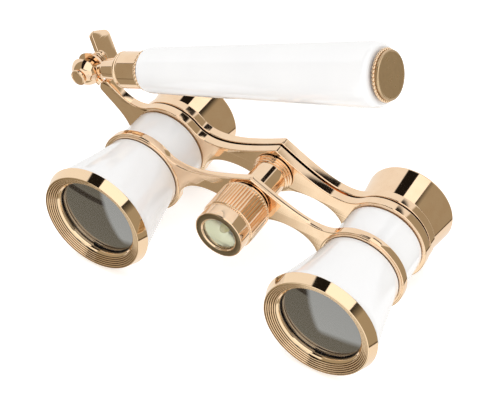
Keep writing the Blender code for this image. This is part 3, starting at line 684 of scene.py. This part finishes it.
# %% Torch
head = eased([(8.3, 6.62), (8.5, 6.8), (12.3, 6.8), (12.3, 5.6), (10.4, 5.6), (10.4, 4.7), (8.62, 4.7),
              (8.62, 4.82), (8.42, 4.95), (8.38, 5.1), (8.38, 6.5)], 0.05)
face = ring(8.3, 8.36, 6.45, 5.12, 0.02)
bulge = np.linspace(0, 1, 14)
torch_lens = np.vstack([np.column_stack([8.4 + 0.75 * bulge ** 2, 4.55 * bulge]), [(9.9, 4.55), (9.9, 0.0)]])
bowl_r = np.linspace(1.5, 4.95, 16)
bowl = np.vstack([np.column_stack([11.55 - 0.95 * (bowl_r / 4.95) ** 2 + 0.09, bowl_r]),
                  [(10.7, 5.2), (11.9, 5.2), (11.9, 1.5)]])
t = np.linspace(0, math.pi / 2, 8)
led = np.vstack([np.column_stack([11.2 - 0.75 * np.cos(t), 1.15 * np.sin(t)]), [(11.9, 1.15), (11.9, 0.0)]])
turned_on_hub("torch_cup", "torch_head", "torch", head, gold, 160)
# A thin disc over the flat front, coloured dark: painted dark reflection.
piece("torch_face", [revolve(face, HUB, sides=160)], gold_darkened_as_reflection, "torch")
turned_on_hub("torch_glass", "torch_lens", "torch", torch_lens, lamp_lens)
turned_on_hub("torch_bowl", "torch_reflector", "torch", bowl, mirror)
turned_on_hub("torch_lamp", "torch_led", "torch", led, lamp, 40)

# %% [markdown]
# ## The hinge of the handle
#
# The hinge is a ball cut by a slot. Two cheeks, each half a ball turned about the pin, and a short web
# between them make the fork, and a stud joins it to the bridge's arm. The tongue of the handle turns in
# the slot. The web is a wedge: a block in polar coordinates, bent round the pin.

# %% Fork
BALL_R, SLOT_HALF = 4.4, 1.45


def cheek(sign):
    """Profile of one half of the ball: r = sqrt(R^2 - s^2) from the slot to the flat, with the pin's bore."""
    s = np.linspace(SLOT_HALF, 3.9, 16)
    curve = np.column_stack([s, np.sqrt(BALL_R ** 2 - s ** 2)])
    return np.vstack([curve, [(3.9, 1.55), (SLOT_HALF, 1.55)]]) * (sign, 1)


def wedge(first, last, inner, steps=16):
    """Block between two angles: a polar box from r = inner to the ball's surface sqrt(R^2 - y^2)."""
    a = np.radians(np.linspace(first, last, steps))
    y = np.linspace(-SLOT_HALF - 0.05, SLOT_HALF + 0.05, 9)
    rim = np.sqrt(BALL_R ** 2 - y ** 2)
    section = np.vstack([np.column_stack([y, rim]), [(y[-1], inner), (y[0], inner)]])
    grid = (PIVOT + section[:, 0][:, None, None] * Y + section[:, 1][:, None, None]
            * (np.cos(a)[:, None] * X + np.sin(a)[:, None] * Z))
    index = np.arange(grid.shape[0] * steps).reshape(-1, steps)
    ahead = np.roll(index, -1, 0)
    walls = np.stack([index[:, :-1], index[:, 1:], ahead[:, 1:], ahead[:, :-1]], -1).reshape(-1, 4)
    ends = [index[:, :1].T, index[::-1, -1:].T]
    points = grid.reshape(-1, 3)
    shell = [walls] + [end if points_agree(walls, end) else end[:, ::-1] for end in ends]
    return points, outward(points, shell)


def points_agree(walls, end):
    """True if the end cap runs against the walls along their shared edges, as neighbours should."""
    edges = {(int(a), int(b)) for quad in walls for a, b in zip(quad, np.roll(quad, -1))}
    return not any((int(a), int(b)) in edges for a, b in zip(end[0], np.roll(end[0], -1)))


stud_axis = math.cos(math.radians(-32)) * X + math.sin(math.radians(-32)) * Z
stud = np.vstack([[(3.6, 0.0)], eased([(3.6, 1.2), (5.2, 1.2)], 0.1), [(5.2, 0.0)]])
piece("hinge_ball", [revolve(cheek(1), PIVOT, sides=96), revolve(cheek(-1), PIVOT, sides=96),
                     wedge(-60, -22, 2.9), revolve(stud, PIVOT, stud_axis, Y, 32)],
      gold, "frame", ["hinge_fork"], crease=40)
nut = on_axis([(-4.85, 0.0), (-4.85, 1.7), (-4.7, 1.85), (-4.85, 2.0), (-4.75, 2.25), (-4.4, 2.3),
               (-4.2, 2.3), (-4.2, 0.0)], 0.06)
piece("pin_head", [revolve(nut, PIVOT, sides=64)], gold, "frame", ["pivot_nut"])

# %% [markdown]
# The thumb lever is a flat plate with rounded corners on a ringed collar. It's made with the same `plate`
# function as the bridges, in a plane that contains the pin's axis.

# %% Thumb lever, screw and washer
lever_up = np.array([math.cos(math.radians(144)), 0, math.sin(math.radians(144))])
lever_side = np.cross(lever_up, Y)


def lever_outline(foot, tip, half_width, corner):
    """Rounded bar from foot to tip: two corners at the foot, two quarter circles at the tip."""
    run = (tip - foot) / np.linalg.norm(tip - foot)
    side = np.array([run[1], -run[0]])
    a = np.radians(np.linspace(0, 90, 12))[:, None]
    right = tip + side * (half_width - corner) - run * corner + corner * (np.cos(a) * side + np.sin(a) * run)
    left = tip - side * (half_width - corner) - run * corner + corner * (np.sin(a) * run - np.cos(a) * side)
    return np.vstack([[foot - side * half_width, foot + side * half_width], right, left[::-1]])


blade_loop = lever_outline(np.array([7.5, -1.9]), np.array([11.6, 5.9]), 3.1, 1.5)
blade_loop = softened(resample(blade_loop, 260), 2)
blade = plate(blade_loop, [], -0.8, 0.8, along(PIVOT, Y, lever_up, lever_side), 0.3)
collar = on_axis([(4.8, 0.0), (4.8, 2.2), (5.4, 2.2), (5.5, 1.8), (6.0, 1.8), (6.1, 2.0), (6.7, 2.0),
                  (6.9, 1.4), (6.9, 0.0)], 0.1)
piece("thumb_lever", [blade, revolve(collar, PIVOT, sides=64)], gold, "clamp", ["clamp_lever"])
pin = np.vstack([[(-3.9, 0.0)], eased([(-3.9, 1.25), (4.5, 1.25)], 0.1), [(4.5, 0.0)]])
piece("hinge_pin", [revolve(pin, PIVOT, sides=48)], steel, "clamp", ["pivot_screw"])
piece("thin_washer", [revolve(ring(4.1, 4.5, 2.3, 1.55, 0.06), PIVOT, sides=64)], gold, "clamp",
      ["lever_washer"])

# %% [markdown]
# ## The handle
#
# The handle is a long, slightly tapered tube of white enamel. A polished ferrule with a beaded ring holds
# it at the hinge, and at the free end a second beaded ring surrounds a flat satin cap. All of it but the
# flat eye of the hinge is turned about one slanted axis.

# %% Handle
def turned_on_handle(name, node, profile, finish, sides=144):
    """A piece turned about the handle's axis; distances run from the pivot."""
    return piece(name, [revolve(profile, PIVOT, HANDLE, Y, sides)], finish, "handle", [node])


TUBE_START, TUBE_END = 22.0, 93.5
eye = [arc((0, 0), 2.6, 32.6, 327.4, 60), [(5.6, -1.4), (5.6, 1.4)]]
eye_outline = resample(np.vstack(eye), 240)
handle_side = np.cross(HANDLE, Y)
eye_plate = plate(eye_outline, [arc((0, 0), 1.55, 0, 360, 49)[:-1]], -1.15, 1.15,
                  along(PIVOT, HANDLE, handle_side, Y), 0.15)
cone = on_axis([(4.8, 0.0), (4.8, 2.0), (7.0, 2.6), (12.4, 3.0), (12.4, 1.6), (19.6, 1.6), (19.6, 0.0)], 0.12)
piece("hinge_eye", [eye_plate, revolve(cone, PIVOT, HANDLE, Y, 64)], gold, "handle", ["hinge_tongue"])
ferrule = eased([(12.7, 4.3), (12.85, 4.85), (13.15, 5.0), (13.5, 4.95), (13.75, 4.7), (14.0, 4.7),
                 (14.2, 4.95), (14.5, 5.0), (20.6, 5.0), (20.6, 1.9), (12.7, 1.9)], 0.12)
turned_on_handle("polished_ferrule", "ferrule", ferrule, gold)
tube = eased([(TUBE_START, 5.3), (TUBE_START + 0.25, 5.85), (TUBE_START + 1.2, 6.1), (TUBE_END - 2.7, 8.02),
              (TUBE_END - 0.5, 7.9), (TUBE_END + 0.45, 7.3), (TUBE_END + 0.7, 6.75), (TUBE_END + 0.7, 5.2),
              (TUBE_END - 6, 5.2), (TUBE_START, 4.8)],
             [0.1, 0.2, 0.6, 1.6, 0.8, 0.4, 0.3, 0.1, 0.1, 0.1], steps=7)
turned_on_handle("white_handle", "handle_tube", tube, enamel, 192)
cap = on_axis([(89.0, 0.0), (89.0, 4.9), (95.75, 4.9), (95.75, 5.9), (95.85, 6.05), (96.3, 6.05),
               (96.55, 5.85), (96.55, 5.7), (96.4, 5.55), (96.4, 0.0)], 0.1)
turned_on_handle("satin_cap", "end_cap", cap, satin_gold)
bead_places = [("end_beads", "cap_bead", 95.2, 6.0, 0.52, 40),
               ("ferrule_beads", "ferrule_bead", 21.2, 5.05, 0.5, 30)]
for name, node, place, centre_r, bead_r, count in bead_places:
    piece(name, [beaded(place, centre_r, bead_r, count, PIVOT, HANDLE, Y)], gold, "handle", [node])
turned_on_handle("inner_tie", "tie_rod", np.vstack([[(19.9, 0.0)], eased([(19.9, 1.5), (88.6, 1.5)], 0.1),
                                                    [(88.6, 0.0)]]), steel, 32)

# %% [markdown]
# The last hidden parts, such as the torch's cells, keep their CAD meshes: their shape is already right,
# and only the finish is new.

# %% Finishes for the CAD nodes that stay
plain_nodes = {"focus_spindle": steel, "spindle_collar": steel, "battery_sleeve": moulding,
               "battery_cell_front": steel, "battery_cell_rear": steel, "torch_board": board}
for node, finish in plain_nodes.items():
    frame["nodes"][node].data.materials.clear()
    frame["nodes"][node].data.materials.append(finish)
shown = [n for n, o in frame["nodes"].items() if not o.hide_render]
print("CAD nodes still shown:", sorted(shown), "new pieces:", len(made), "triangles:", sum(made.values()))

# %% [markdown]
# ## Studio
#
# Polished gold only looks like gold if it has something to reflect: a bright softbox overhead with black
# edges, a light side, and a dim side. Those are painted on the sky, which the gold sees as if it were far
# away. The floor is plain and pale and lit evenly. Gold doesn't see it; it sees the painted sky instead.
#
# Each panel is a mask: a product of soft steps in the direction (dx, dy, dz) of the sky, or in
# u = dx / dz and v = dy / dz, the place where that direction meets a ceiling one metre up.

# %% Sky
world = bpy.data.worlds.new("studio")
bpy.context.scene.world = world
world.use_nodes = True
sky = world.node_tree
sky.nodes.clear()


def sky_node(operation, first, second, clamp=False):
    """One Math node whose inputs are numbers or other nodes' outputs."""
    node = sky.nodes.new("ShaderNodeMath")
    node.operation, node.use_clamp = operation, clamp
    for socket, value in zip(node.inputs, (first, second)):
        if isinstance(value, (int, float)):
            socket.default_value = value
        else:
            sky.links.new(value, socket)
    return node.outputs[0]


def add(a, b):
    return sky_node("ADD", a, b)


def times(a, b):
    return sky_node("MULTIPLY", a, b)


def step_up(value, edge, soft):
    """0 below the edge and 1 above it, over a band `soft` wide."""
    return sky_node("ADD", times(value, 1 / soft), 0.5 - edge / soft, True)


def inside(*masks):
    """The overlap of masks: their product."""
    total = masks[0]
    for mask in masks[1:]:
        total = times(total, mask)
    return total


def without(mask):
    """The rest of the sky: 1 - mask."""
    return sky_node("SUBTRACT", 1.0, mask, True)


def facing(along_x, along_y):
    """1 on the half of the sky that lies towards a horizontal direction."""
    return step_up(add(times(dx, along_x), times(dy, along_y)), 0.0, 0.04)


direction = sky.nodes.new("ShaderNodeTexCoord").outputs["Generated"]
split = sky.nodes.new("ShaderNodeSeparateXYZ")
sky.links.new(direction, split.inputs[0])
dx, dy, dz = split.outputs
height = sky_node("MAXIMUM", dz, 0.02)
u, v = sky_node("DIVIDE", dx, height), sky_node("DIVIDE", dy, height)
above = step_up(dz, 0.05, 0.05)
slant = add(u, times(add(v, 0.1), 0.77))
panel = inside(above, step_up(u, -0.10, 0.02), without(step_up(slant, 1.0, 0.02)),
               without(step_up(v, 0.80, 0.03)), step_up(v, -1.6, 0.1))
left_flag = inside(above, step_up(u, -0.62, 0.06), without(step_up(u, -0.10, 0.02)),
                   without(step_up(v, 0.74, 0.05)), step_up(v, -1.6, 0.1))
far_flag = inside(above, step_up(v, 0.80, 0.03), without(step_up(v, 0.93, 0.05)), step_up(u, -0.05, 0.05),
                  without(step_up(u, 0.42, 0.1)))
side_edge = facing(-0.242, 0.970)
light_side = inside(side_edge, facing(-0.866, 0.5))
seam = inside(side_edge, without(side_edge), without(step_up(dx, 0.0, 0.1)))
front_card = inside(facing(0.891, -0.454), facing(-0.469, -0.883), step_up(dz, -0.80, 0.04),
                    without(step_up(dz, 0.45, 0.05)))
table = inside(without(step_up(dz, -0.58, 0.02)), step_up(dy, -0.25, 0.05))
edge_line = inside(without(step_up(dz, -0.54, 0.01)), step_up(dz, -0.58, 0.01), without(light_side))
fall_off = inside(above, step_up(u, 0.0, 0.1), without(step_up(slant, 1.55, 1.1)), without(light_side),
                  without(step_up(v, 0.6, 0.1)))

DIM, SIDE, DARK = (0.38, 0.33, 0.24), (0.93, 0.92, 0.90), (0.012, 0.010, 0.008)
CARD, TABLE, EDGE, SOFTBOX = (1.05, 1.04, 0.98), (0.95, 0.92, 0.88), (0.10, 0.07, 0.04), (1.25, 1.22, 1.16)
SEAM_GAIN = 3.6  # a mask times its own rest peaks at 1/4, so this brings the seam close to full strength
studio = two_tone(sky, light_side, DIM, SIDE)
for mask, colour in ((fall_off, DARK), (times(seam, SEAM_GAIN), DARK), (table, TABLE), (edge_line, EDGE),
                     (front_card, CARD), (left_flag, DARK), (far_flag, DARK), (panel, SOFTBOX)):
    studio = two_tone(sky, mask, studio, colour)
path = sky.nodes.new("ShaderNodeLightPath")
even_light = two_tone(sky, path.outputs["Is Glossy Ray"], (1.0, 1.0, 1.0), studio)
background = sky.nodes.new("ShaderNodeBackground")
sky.links.new(even_light, background.inputs["Color"])
sky.links.new(background.outputs[0], sky.nodes.new("ShaderNodeOutputWorld").inputs["Surface"])

# %% [markdown]
# The floor is a large pale disc just under the glasses. A soft overhead light gives the enamel a gentle
# fall from top to side.

# %% Floor and light
floor_mesh = bpy.data.meshes.new("floor")
FLOOR_R, FLOOR_Z = 3.0, -0.0002
floor_edge = arc((0, 0), FLOOR_R, 0, 360, 65)[:-1]
floor_mesh.from_pydata([(x, y, FLOOR_Z) for x, y in floor_edge], [], [tuple(range(len(floor_edge)))])
floor = bpy.data.objects.new("floor", floor_mesh)
bpy.context.scene.collection.objects.link(floor)
paper, paper_tree, paper_shader = new_finish("pale_paper", (0.98, 0.98, 0.98), 0.0, 0.9)
paper_shader.inputs["Specular IOR Level"].default_value = 0.0
paper_shader.inputs["Emission Color"].default_value = (1.0, 1.0, 1.0, 1.0)
paper_shader.inputs["Emission Strength"].default_value = 0.35
floor.data.materials.append(paper)
floor.visible_glossy = False
lamp_data = bpy.data.lights.new("overhead", "AREA")
lamp_data.shape, lamp_data.size, lamp_data.energy = "DISK", 0.8, 1.6
overhead = bpy.data.objects.new("overhead", lamp_data)
overhead.location = (0.15, -0.1, 0.9)
overhead.rotation_euler = (Vector((0, 0, 0)) - overhead.location).to_track_quat("-Z", "Y").to_euler()
overhead.visible_glossy = False
bpy.context.scene.collection.objects.link(overhead)
bpy.context.scene.view_settings.view_transform = "Standard"

# %% [markdown]
# ## Camera
#
# The view is from the right, above and in front, with a slight roll, through a fairly long lens: that
# keeps the two barrels nearly the same size.

# %% Camera
camera_data = bpy.data.cameras.new("camera")
camera_data.sensor_width, camera_data.lens = 36.0, 106.0
camera_data.clip_start, camera_data.clip_end = 0.01, 20.0
camera = bpy.data.objects.new("camera", camera_data)
AZIMUTH, ELEVATION, ROLL, DISTANCE = 28.96, 44.53, 2.93, 0.3682
AIM = (0.00345, 0.01764, 0.01245)
target = Vector(MIDDLE * MM) + Vector(AIM)
a, e = math.radians(AZIMUTH), math.radians(ELEVATION)
back = Vector((math.sin(a) * math.cos(e), -math.cos(a) * math.cos(e), math.sin(e)))
turn = (-back).to_track_quat("-Z", "Y").to_matrix().to_4x4() @ Matrix.Rotation(math.radians(ROLL), 4, "Z")
camera.matrix_world = Matrix.Translation(target + back * DISTANCE) @ turn
bpy.context.scene.collection.objects.link(camera)
bpy.context.scene.camera = camera
print("camera at", [round(c, 4) for c in camera.location])

# %% Update the scene
bpy.context.view_layer.update()
